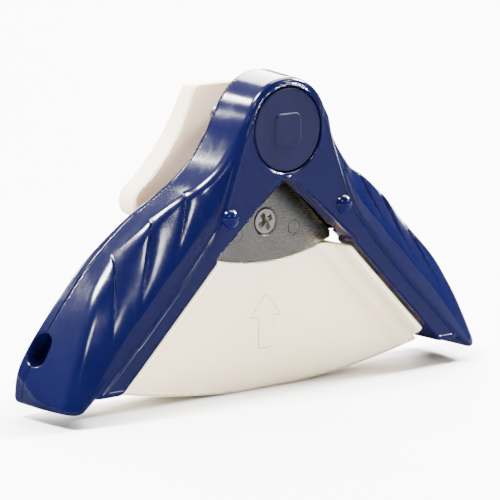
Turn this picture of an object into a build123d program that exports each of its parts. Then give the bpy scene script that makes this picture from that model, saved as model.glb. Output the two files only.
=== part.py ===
"""Hand-held corner punch that rounds the corners of paper and photographs.

A glossy housing with two spread arms holds a fixed V-shaped cutter plate. A paper tray, a
steel die plate and a squeeze lever form one rocking assembly on two hinge pins in the arms.
Squeezing the lever towards the badge rocks the die plate into the cutter plate, which shears
the corner of the paper lying on the tray. Two coil springs push the lever back.

Millimetres. +X right, +Y away from the user, +Z up. The punch stands on the lowest line of
its tray, and the origin is the middle of its footprint on that surface.
"""

from build123d import *
from math import cos, pi, radians, sin, sqrt
import os

os.makedirs("parts", exist_ok=True)

ROOT2 = sqrt(2)

# Overall layout. A depth is a distance behind the flat front panel.
BADGE_Z = 62.2
PANEL_Y = -12.2
HEAD_FRONT_R = 12.0
HEAD_FLARE = 2.2
HEAD_DEPTH = 12.2
WALL = 2.0
PANEL_T = 2.0
REAR_SLOPE = 0.148
SEAM_DEPTH = 11.2
SEAM_SLOPE = 0.10
OVER_DEPTH = 25.0

# Cross-sections of an arm, from neck to foot: distance along the arm from the badge centre,
# then how far out the front face, the crest and the rear rim reach, and the crest's depth.
ARM_STATIONS = [
    (4, 8.6, 9.3, 1.0, 11.0),
    (11, 7.0, 8.2, 1.4, 10.4),
    (18, 5.0, 7.4, 2.0, 9.2),
    (24, 3.6, 8.0, 3.4, 9.2),
    (32, 3.2, 10.1, 6.0, 10.8),
    (42, 3.0, 11.3, 7.9, 12.6),
    (52, 3.0, 11.2, 8.7, 13.4),
    (61, 3.0, 9.8, 7.5, 12.6),
    (69, 3.0, 7.4, 5.0, 11.4),
    (77, 2.2, 4.4, 3.3, 9.6),
    (86, -0.6, 1.2, 2.2, 5.4),
]
SECTION_INNER = -9.5

# Opening between the arms.
INNER_EDGE = -5.9
OPENING_APEX_Z = 51.0
OPENING_APEX_R = 2.5
OPENING_KNEE = (20.5, 34.3)
LIP_DEPTH = 4.8
LIP_T = 1.0
LOW_WALL_START = 46
LOW_WALL_T = 1.4

# Feet.
FOOT_X = 63.3
FOOT_Z = 3.2
FOOT_CORNER_R = 5.0
FOOT_TIP_X = 58.2
STRIP_END = (54.4, 6.2)

# Badge, set flush in the head.
BADGE_R = 9.65
BADGE_POCKET_R = 10.0
BADGE_T = 1.5
HEAD_WEB = 3.4
HEAD_CAVITY_R = 10.6
BADGE_STUD_R = 2.0

# Cutter plate and its two domed rivets.
CUTTER_DEPTH = 5.0
CUTTER_T = 2.6
CUTTER_OUTER = 1.6
CUTTER_END = 30.5
CUTTER_TOP_Z = 57.5
RIVET_XZ = (16.8, 43.2)
RIVET_HEAD_R = 2.3
RIVET_HEAD_H = 1.6
RIVET_SHANK_R = 1.2
RIVET_TAIL_R = 1.8
RIVET_TAIL_T = 0.7
RIVET_BOSS_R = 3.0

# Die plate on the moving tray.
DIE_EDGE = -4.9
DIE_CORNER_R = 12.0
DIE_DEPTH = 8.4
DIE_T = 1.4
DIE_HALF_W = 19.7
DIE_SIDE_Z = 33.8
DIE_LOW_Z = 30.4
SHEAR_GAP = 0.1
SCREW_Z = 39.8
SCREW_HEAD_R = 3.25
SCREW_SINK_R = 3.55
SCREW_SHANK_R = 1.5
SCREW_SINK_ANGLE = 113
SCREW_CONE_H = 1.2
SCREW_CROSS = (3.4, 0.9, 0.9)
DOWEL_XZ = (8.5, 37.5)
DOWEL_R = 1.6
DOWEL_END = 12.4
BLOCK_FRONT = 11.8
BLOCK_BACK = 15.0
BLOCK_X = 13.5
BLOCK_Z = (32.0, 46.5)

# Paper tray.
TRAY_OUTER = -6.5
TRAY_WALL_T = 1.1
TRAY_WALL_FRONT = 1.0
GUIDE_END = (67.0, 71.5)
TRAY_FLOOR = 8.4
TRAY_FLOOR_T = 1.8
TRAY_BACK = 20.4
TRAY_ARC_R = 205.3
TRAY_SKIRT_T = 1.8
TRAY_TOP_Z = 32.9
TRAY_GAP = 0.15
SHELF_T = 2.0
SHELF_INSET = 0.5
SHELF_LOW_Z = 27.0
ARROW_H = 0.25
ARROW_TIP_Z = 22.5
ARROW_NECK_Z = 17.2
ARROW_TAIL_Z = 9.8
ARROW_HEAD_X = 4.4
ARROW_SHAFT_X = 1.9

# Hinge of the tray and lever in the arms.
HINGE_DEPTH = 13.0
HINGE_Z = 21.2
PIN_R = 1.5
PIN_X = (23.6, 43.0)
PIN_BOSS_R = 3.4
PIN_BOSS_END = 45.0
EAR_X = 24.8
EAR_R = 3.8
BUSH_R = 2.3
BUSH_END = 29.3
BUSH_CLEARANCE = 0.05
CLIP_R = 2.8
CLIP_X = (23.8, 24.4)

# Squeeze lever.
LEVER_FRONT = 19.0
LEVER_EDGE_BACK = 23.5
LEVER_CROWN = 26.0
LEVER_TOP_Z = 72.0
LEVER_LOW_Z = 31.0
LEVER_EDGE_R = 1.2
STEM_X = 12.5
STEM_Z = (32.5, 45.5)
LEVER_SCREW_XZ = (7.5, 42.0)
LEVER_SCREW_R = 1.3
LEVER_SCREW_HEAD_R = 2.3
LEVER_SCREW_HEAD_T = 1.4
LEVER_SCREW_SEAT = 20.0
LEVER_SCREW_TIP = 12.6

# Return springs, each around a stop screw.
SPRING_XZ = (6.0, 64.0)
SPRING_R = 2.75
SPRING_WIRE_R = 0.35
SPRING_TURNS = 7
SPIGOT_R = 1.9
SPIGOT_END = 8.0
STOP_SHANK_R = 1.2
STOP_THREAD_R = 0.9
STOP_HEAD_R = 2.2
STOP_HEAD_T = 1.2
STOP_SEAT = 20.6
STOP_HOLE_R = 1.9
STOP_POCKET_R = 3.4

# Cover screws, as (along the arm, out from its axis).
COVER_SCREWS = [(22, 5.0), (49, 5.5), (68, 4.0)]
COVER_BOSS_R = 2.4
COVER_SHANK_R = 1.1
COVER_HEAD_R = 1.9
COVER_HEAD_T = 1.1
COVER_THREAD = 6.0
COVER_SEAT = 0.5
COVER_WINDOW_OUT = 1.0
COVER_WINDOW_TOP_Z = 57.0
STEM_WINDOW_X = 14.6
SIDE_WINDOW_X = 31.4
SIDE_WINDOW_TOP_Z = (36.0, 33.6)
SPRING_HOLE_R = 3.9

# Lanyard hole through the outer wall of each foot.
LANYARD_ALONG = 74.5
LANYARD_OUT = 9.0
LANYARD_DEPTH = 15.5
LANYARD_LENGTH = 8.6
LANYARD_WIDTH = 5.8
LANYARD_ANGLE = 26


def arm_xz(along, out, side=1):
    """Front-view position of a point on an arm, on the right or (side=-1) the left."""
    x = (along + out) / ROOT2
    z = BADGE_Z + (out - along) / ROOT2
    return (side * x, z)


def front_plane(depth):
    """Front-view sketch plane at a depth. Its normal points at the user."""
    return Plane.XZ.offset(-(PANEL_Y + depth))


def arm_plane(along):
    """Cross-section plane of the right arm: local x outwards, local y to the front."""
    x, z = arm_xz(along, 0)
    return Plane(
        origin=(x, PANEL_Y, z),
        x_dir=(1 / ROOT2, 0, 1 / ROOT2),
        z_dir=(1 / ROOT2, 0, -1 / ROOT2),
    )


def rear_depth(z):
    """Depth of the rear face: level behind the head, then sloping back to the feet."""
    return HEAD_DEPTH + REAR_SLOPE * max(0.0, BADGE_Z - z)


def arm_section(station, inset):
    """Five-cornered section of an arm, drawn `inset` inside the outer skin."""
    along, strip, crest, crest_depth, rear = station
    rear_d = rear_depth(arm_xz(along, rear)[1])
    flare = (rear - crest) / (rear_d - crest_depth)
    over = rear + flare * (OVER_DEPTH - rear_d)
    crest_in = crest - 1.1 * inset
    crest_depth_in = max(crest_depth + 0.4 * inset, 1.25 * inset)
    return [
        (SECTION_INNER, -inset),
        (min(strip - 0.7 * inset, crest_in - 0.25 * inset), -inset),
        (crest_in, -crest_depth_in),
        (over - inset, -OVER_DEPTH),
        (SECTION_INNER, -OVER_DEPTH),
    ]


def half_opening(edge_gap):
    """Right half of the opening's outline, `edge_gap` outside the real edge."""
    knee_x, knee_z = OPENING_KNEE
    low = arm_xz(40, INNER_EDGE + edge_gap)
    reach = low[1] + low[0]
    grow = edge_gap * ROOT2
    return [
        (0, OPENING_APEX_Z + grow),
        (knee_x + grow / 2, knee_z + grow / 2),
        (knee_x + grow / 2, reach - knee_x - grow / 2),
        (reach + 20, -20),
        (0, -20),
    ]


def depth_band(front, back):
    """Side-view outline, as (y, z), between two depth rules of the height."""
    top = BADGE_Z + 30
    low = -10
    return [
        (PANEL_Y + front(top), top),
        (PANEL_Y + front(BADGE_Z), BADGE_Z),
        (PANEL_Y + front(low), low),
        (PANEL_Y + back(low), low),
        (PANEL_Y + back(BADGE_Z), BADGE_Z),
        (PANEL_Y + back(top), top),
    ]


def seam_depth(z):
    """Depth of the parting line between the housing and its rear cover."""
    return SEAM_DEPTH + SEAM_SLOPE * max(0.0, BADGE_Z - z)


def both_sides(xz):
    """Front-view positions of a mirrored pair."""
    x, z = xz
    return [(x, z), (-x, z)]


def pin_plane(x):
    """Plane across the hinge axis, facing +X."""
    return Plane(
        origin=(x, PANEL_Y + HINGE_DEPTH, HINGE_Z), x_dir=(0, 1, 0), z_dir=(1, 0, 0)
    )


def lanyard_plane(side):
    """Plane of a lanyard hole, facing out of the foot."""
    x, z = arm_xz(LANYARD_ALONG, LANYARD_OUT, side)
    normal = (side * cos(radians(LANYARD_ANGLE)), 0, sin(radians(LANYARD_ANGLE)))
    return Plane(origin=(x, PANEL_Y + LANYARD_DEPTH, z), x_dir=(0, 1, 0), z_dir=normal)


# Outer form and cavity, shared by the housing and its cover.
with BuildPart() as outer_form:
    for station in ARM_STATIONS:
        with BuildSketch(arm_plane(station[0])):
            Polygon(*arm_section(station, 0), align=None)
    loft(ruled=True)
    with BuildSketch(front_plane(-5)):
        with BuildLine():
            Polyline(
                (-30, 90),
                (FOOT_X, 90),
                (FOOT_X, FOOT_Z),
                (FOOT_TIP_X, FOOT_Z),
                STRIP_END,
                (-30, STRIP_END[1]),
                close=True,
            )
        foot = make_face()
        fillet(foot.vertices().sort_by_distance((FOOT_X, 0, FOOT_Z))[0], FOOT_CORNER_R)
    extrude(amount=-40, mode=Mode.INTERSECT)
    mirror(about=Plane.YZ)
    for depth, radius in [(0, HEAD_FRONT_R), (OVER_DEPTH, HEAD_FRONT_R + HEAD_FLARE)]:
        with BuildSketch(front_plane(depth)):
            with Locations((0, BADGE_Z)):
                Circle(radius)
    loft()

with BuildPart() as cavity:
    for station in ARM_STATIONS:
        with BuildSketch(arm_plane(station[0])):
            Polygon(*arm_section(station, WALL), align=None)
    loft(ruled=True)
    with BuildSketch(front_plane(-5)):
        with BuildLine():
            Polyline(
                (-30, 90),
                (FOOT_X - WALL, 90),
                (FOOT_X - WALL, FOOT_Z + WALL),
                (FOOT_TIP_X, FOOT_Z + WALL),
                (STRIP_END[0], STRIP_END[1] + WALL),
                (-30, STRIP_END[1] + WALL),
                close=True,
            )
        make_face()
    extrude(amount=-40, mode=Mode.INTERSECT)
    mirror(about=Plane.YZ)
    with BuildSketch(front_plane(HEAD_WEB)):
        with Locations((0, BADGE_Z)):
            Circle(HEAD_CAVITY_R)
    extrude(amount=-OVER_DEPTH)
    with BuildSketch(front_plane(-1)):
        with Locations((0, BADGE_Z)):
            Circle(BADGE_POCKET_R + WALL)
    extrude(amount=-(HEAD_WEB + 1), mode=Mode.SUBTRACT)
    with BuildSketch(front_plane(-1)):
        Polygon(*half_opening(LIP_T), align=None)
        mirror(about=Plane.YZ)
    extrude(amount=-(LIP_DEPTH + 1), mode=Mode.SUBTRACT)
    for side in (1, -1):
        with BuildSketch(front_plane(-1)):
            Polygon(
                arm_xz(LOW_WALL_START, SECTION_INNER, side),
                arm_xz(LOW_WALL_START, INNER_EDGE + LOW_WALL_T, side),
                arm_xz(95, INNER_EDGE + LOW_WALL_T, side),
                arm_xz(95, SECTION_INNER, side),
                align=None,
            )
        extrude(amount=-40, mode=Mode.SUBTRACT)

# Lanyard holes, cut through housing and cover together.
with BuildPart() as lanyard_cut:
    for side in (1, -1):
        with BuildSketch(lanyard_plane(side)):
            SlotOverall(LANYARD_LENGTH, LANYARD_WIDTH, rotation=90)
        extrude(amount=4, both=True)

cover_spots = [arm_xz(a, o, s) for a, o in COVER_SCREWS for s in (1, -1)]

# Glossy housing, open at the back.
with BuildPart() as front_housing:
    add(outer_form.part)
    add(cavity.part, mode=Mode.SUBTRACT)
    with BuildSketch(front_plane(PANEL_T / 2)):
        with Locations(*both_sides(RIVET_XZ)):
            Circle(RIVET_BOSS_R)
    extrude(amount=-(CUTTER_DEPTH - PANEL_T / 2))
    with BuildSketch(front_plane(HEAD_WEB - 0.5)):
        with Locations(*both_sides(SPRING_XZ)):
            Circle(SPIGOT_R)
    extrude(amount=-(SPIGOT_END - HEAD_WEB + 0.5))
    with BuildSketch(front_plane(PANEL_T / 2)):
        with Locations(*cover_spots):
            Circle(COVER_BOSS_R)
    extrude(amount=-OVER_DEPTH)
    for side in (1, -1):
        with BuildSketch(pin_plane(side * PIN_BOSS_END)):
            Circle(PIN_BOSS_R)
        extrude(amount=-side * (PIN_BOSS_END - EAR_X))
    add(outer_form.part, mode=Mode.INTERSECT)
    with BuildSketch(front_plane(-5)) as opening:
        Polygon(*half_opening(0), align=None)
        mirror(about=Plane.YZ)
        fillet(opening.vertices().sort_by(Axis.Y)[-1], OPENING_APEX_R)
    extrude(amount=-40, mode=Mode.SUBTRACT)
    with BuildSketch(Plane.YZ.offset(-80)):
        Polygon(*depth_band(lambda z: -5, seam_depth), align=None)
    extrude(amount=160, mode=Mode.INTERSECT)
    with BuildSketch(front_plane(0)):
        with Locations((0, BADGE_Z)):
            Circle(BADGE_POCKET_R)
    extrude(amount=-BADGE_T, mode=Mode.SUBTRACT)
    with BuildSketch(front_plane(0)):
        with Locations((0, BADGE_Z)):
            Circle(BADGE_STUD_R)
        with Locations(*both_sides(RIVET_XZ)):
            Circle(RIVET_SHANK_R)
    extrude(amount=-(CUTTER_DEPTH + 0.1), mode=Mode.SUBTRACT)
    with BuildSketch(front_plane(HEAD_WEB)):
        with Locations(*both_sides(SPRING_XZ)):
            Circle(STOP_THREAD_R)
    extrude(amount=-SPIGOT_END, mode=Mode.SUBTRACT)
    for x, z in cover_spots:
        with BuildSketch(front_plane(seam_depth(z) + COVER_SEAT)):
            with Locations((x, z)):
                Circle(COVER_SHANK_R)
        extrude(amount=COVER_THREAD, mode=Mode.SUBTRACT)
    for side in (1, -1):
        with BuildSketch(pin_plane(side * PIN_X[0])):
            Circle(PIN_R)
        extrude(amount=side * (PIN_X[1] - PIN_X[0]), mode=Mode.SUBTRACT)
    add(lanyard_cut.part, mode=Mode.SUBTRACT)
front_housing.part.label = "front_housing"
export_step(front_housing.part, "parts/front_housing.step")

# Rear cover, a wedge-shaped plate that closes the head and both arms.
with BuildPart() as rear_cover:
    add(outer_form.part)
    with BuildSketch(Plane.YZ.offset(-80)):
        Polygon(*depth_band(seam_depth, rear_depth), align=None)
    extrude(amount=160, mode=Mode.INTERSECT)
    with BuildSketch(front_plane(0)):
        Polygon(
            (0, COVER_WINDOW_TOP_Z),
            (STEM_WINDOW_X, COVER_WINDOW_TOP_Z - 8),
            (STEM_WINDOW_X, SIDE_WINDOW_TOP_Z[0]),
            (SIDE_WINDOW_X, SIDE_WINDOW_TOP_Z[1]),
            arm_xz(LOW_WALL_START, COVER_WINDOW_OUT),
            arm_xz(LOW_WALL_START, INNER_EDGE),
            arm_xz(110, INNER_EDGE),
            (0, -20),
            align=None,
        )
        mirror(about=Plane.YZ)
    extrude(amount=-40, mode=Mode.SUBTRACT)
    with BuildSketch(front_plane(0)):
        with Locations(*both_sides(SPRING_XZ)):
            Circle(SPRING_HOLE_R)
        with Locations(*cover_spots):
            Circle(COVER_SHANK_R)
    extrude(amount=-40, mode=Mode.SUBTRACT)
    for x, z in cover_spots:
        with BuildSketch(front_plane(seam_depth(z) + COVER_SEAT)):
            with Locations((x, z)):
                Circle(COVER_HEAD_R)
        extrude(amount=-20, mode=Mode.SUBTRACT)
    add(lanyard_cut.part, mode=Mode.SUBTRACT)
rear_cover.part.label = "rear_cover"
export_step(rear_cover.part, "parts/rear_cover.step")

# Screws that hold the rear cover.
with BuildPart() as cover_screws:
    for x, z in cover_spots:
        with BuildSketch(front_plane(seam_depth(z) + COVER_SEAT)):
            with Locations((x, z)):
                Circle(COVER_SHANK_R)
        extrude(amount=COVER_THREAD - 0.5)
        with BuildSketch(front_plane(seam_depth(z) + COVER_SEAT)):
            with Locations((x, z)):
                Circle(COVER_HEAD_R - 0.1)
        extrude(amount=-COVER_HEAD_T)
cover_screws.part.label = "cover_screws"
export_step(cover_screws.part, "parts/cover_screws.step")

# Flush badge with a stud that snaps through the head.
with BuildPart() as badge_cap:
    with BuildSketch(front_plane(0)):
        with Locations((0, BADGE_Z)):
            Circle(BADGE_R)
    extrude(amount=-BADGE_T)
    with BuildSketch(front_plane(BADGE_T)):
        with Locations((0, BADGE_Z)):
            Circle(BADGE_STUD_R)
    extrude(amount=-(HEAD_WEB - BADGE_T))
    with BuildSketch(front_plane(HEAD_WEB)):
        with Locations((0, BADGE_Z)):
            Circle(BADGE_STUD_R + 0.4)
    extrude(amount=-0.8, taper=20)
badge_cap.part.label = "badge_cap"
export_step(badge_cap.part, "parts/badge_cap.step")


def die_outline(grow, low_z=None):
    """Outline of the die plate, as corner points, enlarged by `grow` on its straight sides."""
    apex = BADGE_Z + (DIE_EDGE + grow) * ROOT2
    half = DIE_HALF_W + grow
    low = DIE_SIDE_Z if low_z is None else low_z
    return [(-half, low), (-half, apex - half), (0, apex), (half, apex - half), (half, low)]


# V-shaped cutter plate. Its inner edge shears against the die plate.
with BuildPart() as cutter_plate:
    with BuildSketch(front_plane(CUTTER_DEPTH)):
        top_x = CUTTER_OUTER * ROOT2 + BADGE_Z - CUTTER_TOP_Z
        Polygon(
            (0, CUTTER_TOP_Z),
            (top_x, CUTTER_TOP_Z),
            arm_xz(CUTTER_END, CUTTER_OUTER),
            arm_xz(CUTTER_END, DIE_EDGE - 3),
            (0, DIE_SIDE_Z),
            align=None,
        )
        mirror(about=Plane.YZ)
        with BuildSketch(mode=Mode.PRIVATE) as die_cut:
            Polygon(*die_outline(SHEAR_GAP, 20), align=None)
            fillet(die_cut.vertices().sort_by(Axis.Y)[-1], DIE_CORNER_R)
        add(die_cut.sketch, mode=Mode.SUBTRACT)
        with Locations(*both_sides(RIVET_XZ)):
            Circle(RIVET_SHANK_R, mode=Mode.SUBTRACT)
    extrude(amount=-CUTTER_T)
cutter_plate.part.label = "cutter_plate"
export_step(cutter_plate.part, "parts/cutter_plate.step")

# Domed rivets through the front panel and the cutter plate.
with BuildPart() as dome_rivets:
    dome_r = (RIVET_HEAD_R**2 + RIVET_HEAD_H**2) / (2 * RIVET_HEAD_H)
    for x, z in both_sides(RIVET_XZ):
        with BuildSketch(Plane(origin=(x, PANEL_Y, z), x_dir=(1, 0, 0), z_dir=(0, 0, 1))):
            with BuildLine():
                ThreePointArc(
                    (0, -RIVET_HEAD_H),
                    (dome_r * sin(pi / 6), -RIVET_HEAD_H + dome_r * (1 - cos(pi / 6))),
                    (RIVET_HEAD_R, 0),
                )
                Polyline((RIVET_HEAD_R, 0), (0, 0), (0, -RIVET_HEAD_H))
            make_face()
        revolve(axis=Axis((x, PANEL_Y, z), (0, 1, 0)))
        with BuildSketch(front_plane(0)):
            with Locations((x, z)):
                Circle(RIVET_SHANK_R)
        extrude(amount=-(CUTTER_DEPTH + CUTTER_T))
        with BuildSketch(front_plane(CUTTER_DEPTH + CUTTER_T)):
            with Locations((x, z)):
                Circle(RIVET_TAIL_R)
        extrude(amount=-RIVET_TAIL_T)
dome_rivets.part.label = "dome_rivets"
export_step(dome_rivets.part, "parts/dome_rivets.step")

# Die plate: a polished sector with flush fasteners.
with BuildPart() as die_plate:
    with BuildSketch(front_plane(DIE_DEPTH)) as die_face:
        with BuildLine():
            corners = die_outline(0)
            Polyline(*corners)
            ThreePointArc(corners[-1], (0, DIE_LOW_Z), corners[0])
        make_face()
        fillet(die_face.vertices().sort_by(Axis.Y)[-1], DIE_CORNER_R)
        with Locations(*both_sides(DOWEL_XZ)):
            Circle(DOWEL_R, mode=Mode.SUBTRACT)
    extrude(amount=-DIE_T)
    with Locations(Location(front_plane(DIE_DEPTH).location) * Pos(0, SCREW_Z, 0)):
        CounterSinkHole(SCREW_SHANK_R, SCREW_SINK_R, counter_sink_angle=SCREW_SINK_ANGLE)
die_plate.part.label = "die_plate"
export_step(die_plate.part, "parts/die_plate.step")

# Countersunk cross-head screw of the die plate.
with BuildPart() as die_screw:
    with BuildSketch(front_plane(DIE_DEPTH)):
        with Locations((0, SCREW_Z)):
            Circle(SCREW_HEAD_R)
    with BuildSketch(front_plane(DIE_DEPTH + SCREW_CONE_H)):
        with Locations((0, SCREW_Z)):
            Circle(SCREW_SHANK_R)
    loft()
    with BuildSketch(front_plane(DIE_DEPTH + SCREW_CONE_H)):
        with Locations((0, SCREW_Z)):
            Circle(SCREW_SHANK_R)
    extrude(amount=-(BLOCK_BACK - 0.5 - DIE_DEPTH - SCREW_CONE_H))
    cross_long, cross_wide, cross_deep = SCREW_CROSS
    with BuildSketch(front_plane(DIE_DEPTH)):
        with Locations((0, SCREW_Z)):
            Rectangle(cross_long, cross_wide)
            Rectangle(cross_wide, cross_long)
    extrude(amount=-cross_deep, mode=Mode.SUBTRACT)
die_screw.part.label = "die_screw"
export_step(die_screw.part, "parts/die_screw.step")

# Two dowel pins that locate the die plate.
with BuildPart() as dowel_pins:
    with BuildSketch(front_plane(DIE_DEPTH)):
        with Locations(*both_sides(DOWEL_XZ)):
            Circle(DOWEL_R)
    extrude(amount=-(DOWEL_END - DIE_DEPTH))
dowel_pins.part.label = "dowel_pins"
export_step(dowel_pins.part, "parts/dowel_pins.step")

# Cast block behind the die plate, which joins the tray to the lever.
with BuildPart() as die_block:
    with BuildSketch(front_plane(BLOCK_FRONT)):
        with Locations((0, (BLOCK_Z[0] + BLOCK_Z[1]) / 2)):
            RectangleRounded(2 * BLOCK_X, BLOCK_Z[1] - BLOCK_Z[0], 2)
        with Locations(*both_sides(DOWEL_XZ)):
            Circle(DOWEL_R, mode=Mode.SUBTRACT)
        with Locations((0, SCREW_Z)):
            Circle(SCREW_SHANK_R, mode=Mode.SUBTRACT)
    extrude(amount=-(BLOCK_BACK - BLOCK_FRONT))
    with BuildSketch(front_plane(LEVER_SCREW_TIP)):
        with Locations(*both_sides(LEVER_SCREW_XZ)):
            Circle(LEVER_SCREW_R)
    extrude(amount=-(BLOCK_BACK - LEVER_SCREW_TIP), mode=Mode.SUBTRACT)
die_block.part.label = "die_block"
export_step(die_block.part, "parts/die_block.step")


def tray_sector(out, low_r):
    """Sketch of the tray between two lines at `out` from the arm axes and an arc below."""
    with BuildSketch(mode=Mode.PRIVATE) as sector:
        with Locations((0, TRAY_ARC_R)):
            Circle(low_r)
        corner = arm_xz(120, out)
        Polygon(
            (0, BADGE_Z + out * ROOT2),
            corner,
            (-corner[0], corner[1]),
            align=None,
            mode=Mode.INTERSECT,
        )
    return sector.sketch


def guide_plane(side):
    """Plane along a side guide: local x down the guide, local y the depth."""
    x, z = arm_xz(0, TRAY_OUTER, side)
    down = (side / ROOT2, 0, -1 / ROOT2)
    normal = (1 / ROOT2, 0, side / ROOT2)
    return Plane(origin=(x, PANEL_Y, z), x_dir=down, z_dir=normal)


# Paper tray: floor, tall side guides, skirt underneath and two hinge ears.
with BuildPart() as paper_tray:
    with BuildSketch(front_plane(TRAY_WALL_FRONT)):
        add(tray_sector(TRAY_OUTER, TRAY_ARC_R))
        with Locations((0, TRAY_TOP_Z)):
            Rectangle(120, 40, align=(Align.CENTER, Align.MIN), mode=Mode.SUBTRACT)
    extrude(amount=-(TRAY_BACK - TRAY_WALL_FRONT))
    with BuildSketch(front_plane(TRAY_WALL_FRONT)):
        add(tray_sector(TRAY_OUTER - TRAY_WALL_T, TRAY_ARC_R + 10))
    extrude(amount=-(TRAY_FLOOR - TRAY_WALL_FRONT), mode=Mode.SUBTRACT)
    for side in (1, -1):
        with BuildSketch(guide_plane(side)):
            Polygon(
                (GUIDE_END[0], TRAY_WALL_FRONT - 1),
                (GUIDE_END[0], TRAY_WALL_FRONT),
                (GUIDE_END[1], TRAY_FLOOR),
                (90, TRAY_FLOOR),
                (90, TRAY_WALL_FRONT - 1),
                align=None,
            )
        extrude(amount=3, both=True, mode=Mode.SUBTRACT)
    with BuildSketch(front_plane(TRAY_FLOOR + TRAY_FLOOR_T)):
        add(tray_sector(TRAY_OUTER - TRAY_WALL_T, TRAY_ARC_R - TRAY_SKIRT_T))
    extrude(amount=-TRAY_BACK, mode=Mode.SUBTRACT)
    for side in (1, -1):
        with BuildPart(mode=Mode.PRIVATE) as ear:
            with BuildSketch(pin_plane(side * EAR_X)):
                Circle(EAR_R)
            extrude(amount=side * 10)
            with BuildSketch(front_plane(0)):
                add(tray_sector(TRAY_OUTER, TRAY_ARC_R))
            extrude(amount=-40, mode=Mode.INTERSECT)
        add(ear.part)
    with BuildSketch(front_plane(DIE_DEPTH - 1)):
        with BuildLine():
            corners = die_outline(TRAY_GAP)
            Polyline(*corners)
            ThreePointArc(corners[-1], (0, DIE_LOW_Z - TRAY_GAP), corners[0])
        make_face()
    extrude(amount=-20, mode=Mode.SUBTRACT)
    with BuildSketch(front_plane(DIE_DEPTH + DIE_T)) as shelf:
        Polygon(*die_outline(-SHELF_INSET, SHELF_LOW_Z), align=None)
        fillet(shelf.vertices().sort_by(Axis.Y)[-1], DIE_CORNER_R)
    extrude(amount=-SHELF_T)
    with BuildSketch(front_plane(DIE_DEPTH + DIE_T)):
        with Locations(*both_sides(DOWEL_XZ)):
            Circle(DOWEL_R)
        with Locations((0, SCREW_Z)):
            Circle(SCREW_SHANK_R)
    extrude(amount=-SHELF_T, mode=Mode.SUBTRACT)
    with BuildSketch(front_plane(TRAY_FLOOR)):
        Polygon(
            (0, ARROW_TIP_Z),
            (ARROW_HEAD_X, ARROW_NECK_Z),
            (ARROW_SHAFT_X, ARROW_NECK_Z),
            (ARROW_SHAFT_X, ARROW_TAIL_Z),
            (-ARROW_SHAFT_X, ARROW_TAIL_Z),
            (-ARROW_SHAFT_X, ARROW_NECK_Z),
            (-ARROW_HEAD_X, ARROW_NECK_Z),
            align=None,
        )
    extrude(amount=ARROW_H)
    for side in (1, -1):
        with BuildSketch(pin_plane(side * EAR_X)):
            Circle(BUSH_R)
        extrude(amount=side * (BUSH_END - EAR_X), mode=Mode.SUBTRACT)
        with BuildSketch(pin_plane(side * EAR_X)):
            Circle(PIN_R + BUSH_CLEARANCE * 2)
        extrude(amount=side * 12, mode=Mode.SUBTRACT)
paper_tray.part.label = "paper_tray"
export_step(paper_tray.part, "parts/paper_tray.step")

# Hinge pins in the arms, and the bushes that turn on them in the tray's ears.
for side, hand in ((1, "right"), (-1, "left")):
    with BuildPart() as hinge_pin:
        with BuildSketch(pin_plane(side * PIN_X[0])):
            Circle(PIN_R)
        extrude(amount=side * (PIN_X[1] - PIN_X[0]))
    hinge_pin.part.label = f"hinge_pin_{hand}"
    export_step(hinge_pin.part, f"parts/hinge_pin_{hand}.step")

    with BuildPart() as hinge_bush:
        with BuildSketch(pin_plane(side * EAR_X)):
            Circle(BUSH_R)
            Circle(PIN_R + BUSH_CLEARANCE, mode=Mode.SUBTRACT)
        extrude(amount=side * (BUSH_END - EAR_X))
    hinge_bush.part.label = f"hinge_bush_{hand}"
    export_step(hinge_bush.part, f"parts/hinge_bush_{hand}.step")

# Push-on clips that keep the pins in place.
with BuildPart() as hinge_clips:
    for side in (1, -1):
        with BuildSketch(pin_plane(side * CLIP_X[0])):
            Circle(CLIP_R)
            Circle(PIN_R, mode=Mode.SUBTRACT)
        extrude(amount=side * (CLIP_X[1] - CLIP_X[0]))
hinge_clips.part.label = "hinge_clips"
export_step(hinge_clips.part, "parts/hinge_clips.step")


def lever_outline():
    """Bell-shaped face of the lever: narrow at the top, with wide finger wings below."""
    with BuildSketch(mode=Mode.PRIVATE) as face:
        with BuildLine():
            top = Line((0, LEVER_TOP_Z), (11.6, LEVER_TOP_Z))
            shoulder = ThreePointArc(top @ 1, (13.6, 71.2), (14.4, 69.2))
            flank = Spline(
                shoulder @ 1,
                (17.2, 63.4),
                (22.2, 56.2),
                (28.6, 49.6),
                tangents=[(0.25, -1), (0.85, -0.55)],
            )
            wing = ThreePointArc(flank @ 1, (30.2, 45.2), (27.0, 41.8))
            under = Spline(
                wing @ 1, (20.5, 40.3), (15.2, 35.8), tangents=[(-1, -0.1), (-0.35, -1)]
            )
            Polyline(under @ 1, (14.2, LEVER_LOW_Z), (0, LEVER_LOW_Z), (0, LEVER_TOP_Z))
        make_face()
        mirror(about=Plane.YZ)
    return face.sketch


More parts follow.
